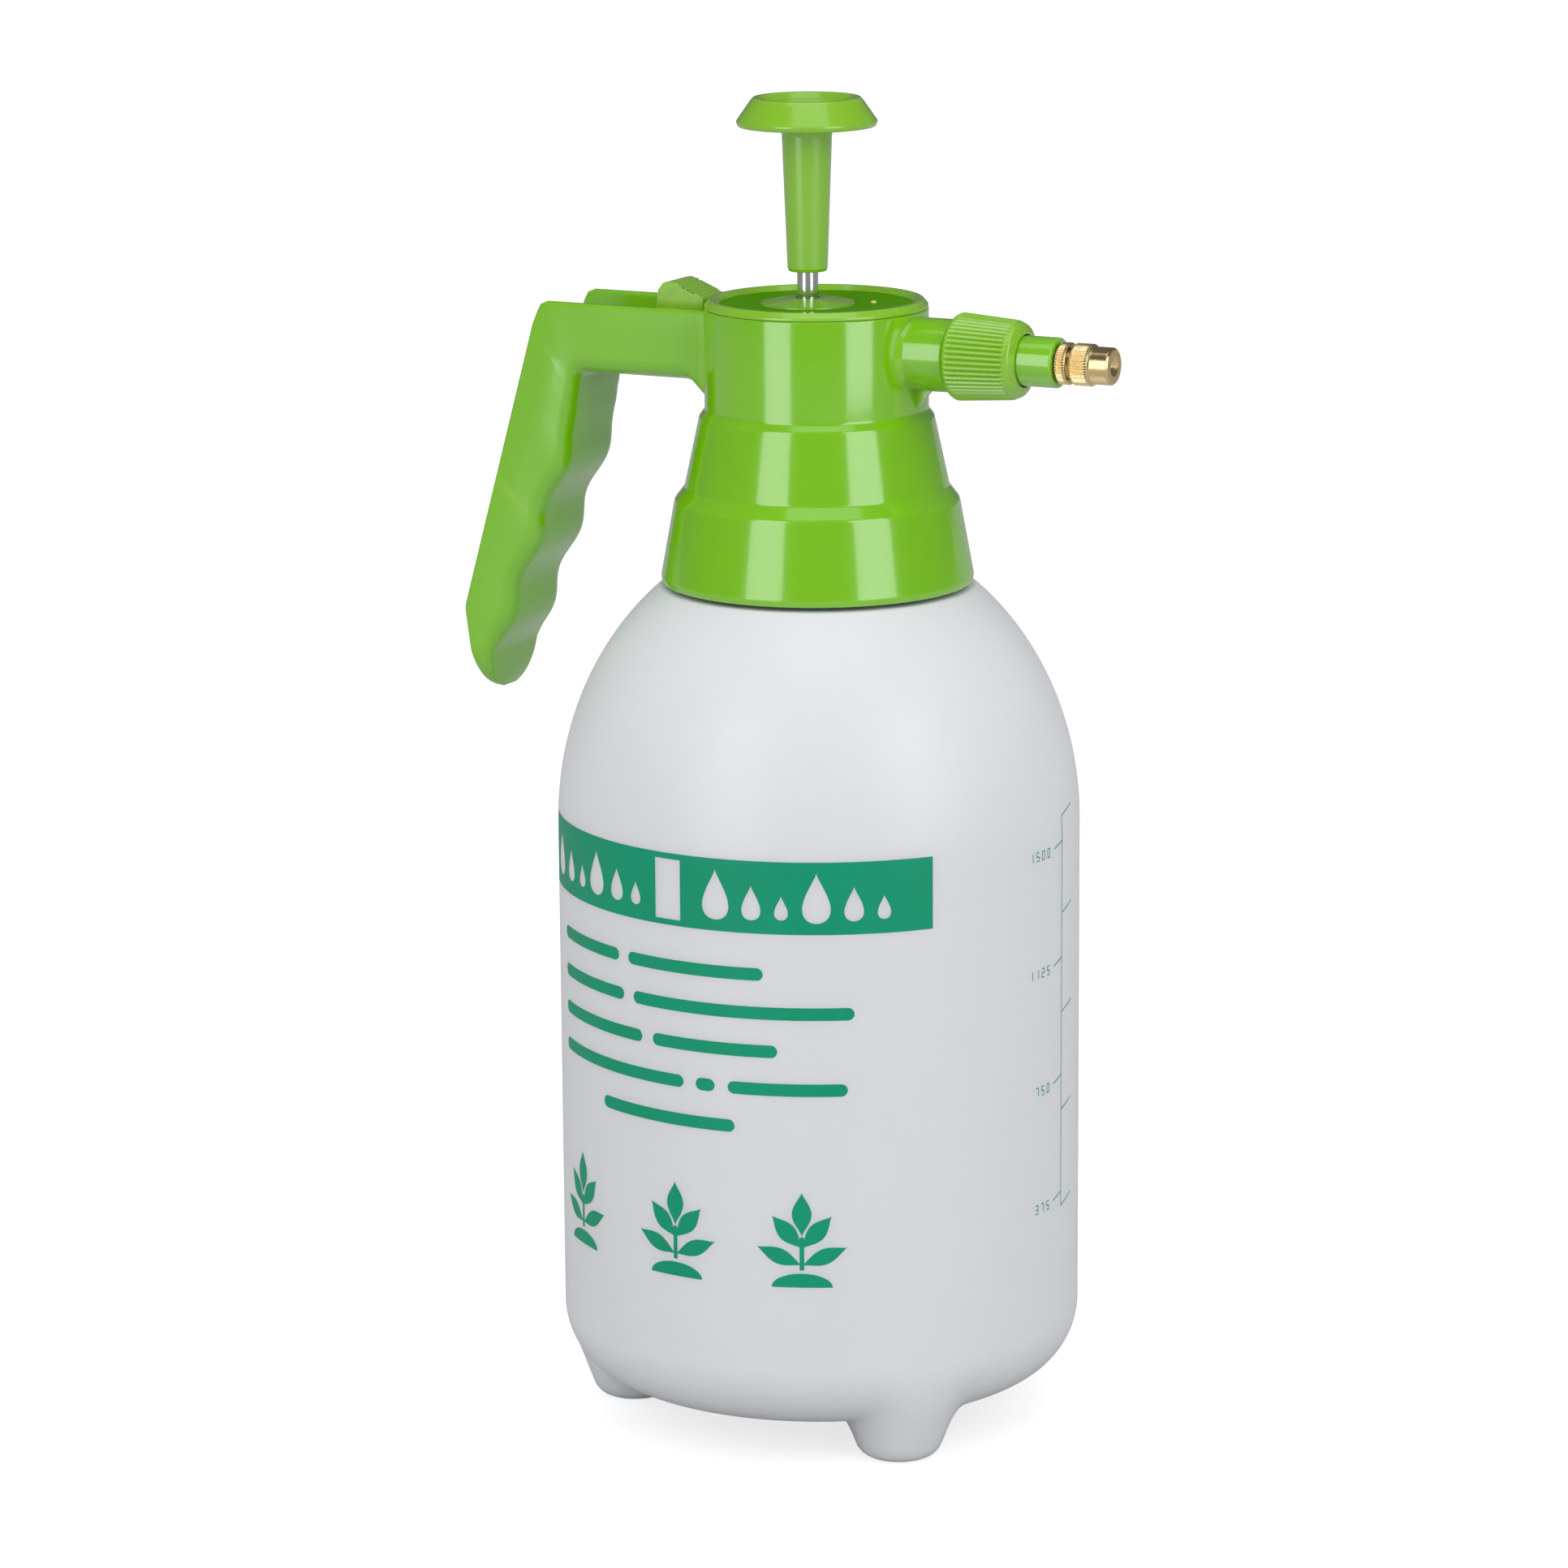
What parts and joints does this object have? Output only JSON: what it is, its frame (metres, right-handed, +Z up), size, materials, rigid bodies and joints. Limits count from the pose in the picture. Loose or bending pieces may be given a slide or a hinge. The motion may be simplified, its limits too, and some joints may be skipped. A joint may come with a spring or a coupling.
{
  "type": "pump sprayer",
  "caption": "Hand-pumped pressure sprayer: translucent footed bottle, screw-on head with grip and thumb trigger, push pump and adjustable brass nozzle.",
  "frame": {"origin": "on the floor, under the middle of the whole sprayer's box", "axes": "+Z up along the bottle, +X the way the nozzle points, -X the handle"},
  "size_m": [0.1666, 0.125, 0.3181],
  "materials": {
    "green_plastic": "glossy injection-moulded polypropylene",
    "bottle_plastic": "milky translucent blow-moulded polyethylene",
    "white_plastic": "natural moulded polypropylene",
    "rubber": "matt black nitrile",
    "clear_hose": "soft clear tube",
    "brass": "turned and knurled brass",
    "steel": "bright drawn rod",
    "spring_steel": "stainless wire"
  },
  "bodies": {
    "bottle": {"bottle": "bottle_plastic"},
    "neck_gasket": {"neck_gasket": "rubber"},
    "head": {"head_housing": "green_plastic", "top_cap": "green_plastic", "rod_guide": "white_plastic", "pump_barrel": "white_plastic", "barrel_seal": "rubber", "check_valve": "rubber", "valve_body": "white_plastic", "suction_tube": "clear_hose", "suction_filter": "white_plastic", "delivery_tube": "clear_hose", "outlet_elbow": "white_plastic", "trigger_pin": "steel", "valve_spring": "spring_steel"},
    "piston": {"piston": "white_plastic", "piston_cup": "rubber"},
    "pump_handle": {"pump_rod": "steel", "pump_knob": "green_plastic"},
    "trigger": {"trigger": "green_plastic"},
    "valve_stem": {"valve_stem": "steel", "stem_seal": "rubber"},
    "nozzle_tube": {"nozzle_tube": "green_plastic", "union_washer": "rubber", "nozzle_body": "brass"},
    "union_nut": {"union_nut": "green_plastic"},
    "tip_seal": {"tip_seal": "rubber"},
    "nozzle_tip": {"nozzle_tip": "brass"}
  },
  "joints": [
    {"name": "head_lift", "type": "slide", "parent": "bottle", "child": "neck_gasket", "axis": [0, 0, 1], "range_m": [0, 0.25]},
    {"name": "head_turn", "type": "hinge", "parent": "neck_gasket", "child": "head", "pos_m": [0.00665, 0, 0.215], "axis": [0, 0, 1], "range_deg": [0, 540]},
    {"name": "pump_stroke", "type": "slide", "parent": "head", "child": "piston", "axis": [0, 0, 1], "range_m": [-0.003, 0.085]},
    {"name": "pump_spin", "type": "hinge", "parent": "piston", "child": "pump_handle", "pos_m": [0.00445, 0, 0.28], "axis": [0, 0, 1], "continuous": true},
    {"name": "trigger_press", "type": "hinge", "parent": "head", "child": "trigger", "pos_m": [-0.02315, 0, 0.2635], "axis": [0, -1, 0], "range_deg": [0, 10], "stiffness_Nm_per_rad": 0.05, "springref_deg": -8.59},
    {"name": "valve_open", "type": "slide", "parent": "head", "child": "valve_stem", "axis": [0, 0, -1], "range_m": [0, 0.00124], "deforming": ["valve_spring"]},
    {"name": "nozzle_advance", "type": "slide", "parent": "head", "child": "nozzle_tube", "axis": [1, 0, 0], "range_m": [0, 0.005]},
    {"name": "nut_turn", "type": "hinge", "parent": "nozzle_tube", "child": "union_nut", "pos_m": [0.05, 0, 0.2594], "axis": [1, 0, 0], "range_deg": [0, 721]},
    {"name": "tip_advance", "type": "slide", "parent": "nozzle_tube", "child": "tip_seal", "axis": [1, 0, 0], "range_m": [0, 0.0015]},
    {"name": "tip_turn", "type": "hinge", "parent": "tip_seal", "child": "nozzle_tip", "pos_m": [0.075, 0, 0.2594], "axis": [1, 0, 0], "range_deg": [0, 541]}
  ],
  "couplings": [
    {"joint": "trigger_press", "follows": "valve_open", "rad_per_m": 140.84},
    {"joint": "nut_turn", "follows": "nozzle_advance", "rad_per_m": 2513.3},
    {"joint": "tip_turn", "follows": "tip_advance", "rad_per_m": 6283.2}
  ]
}
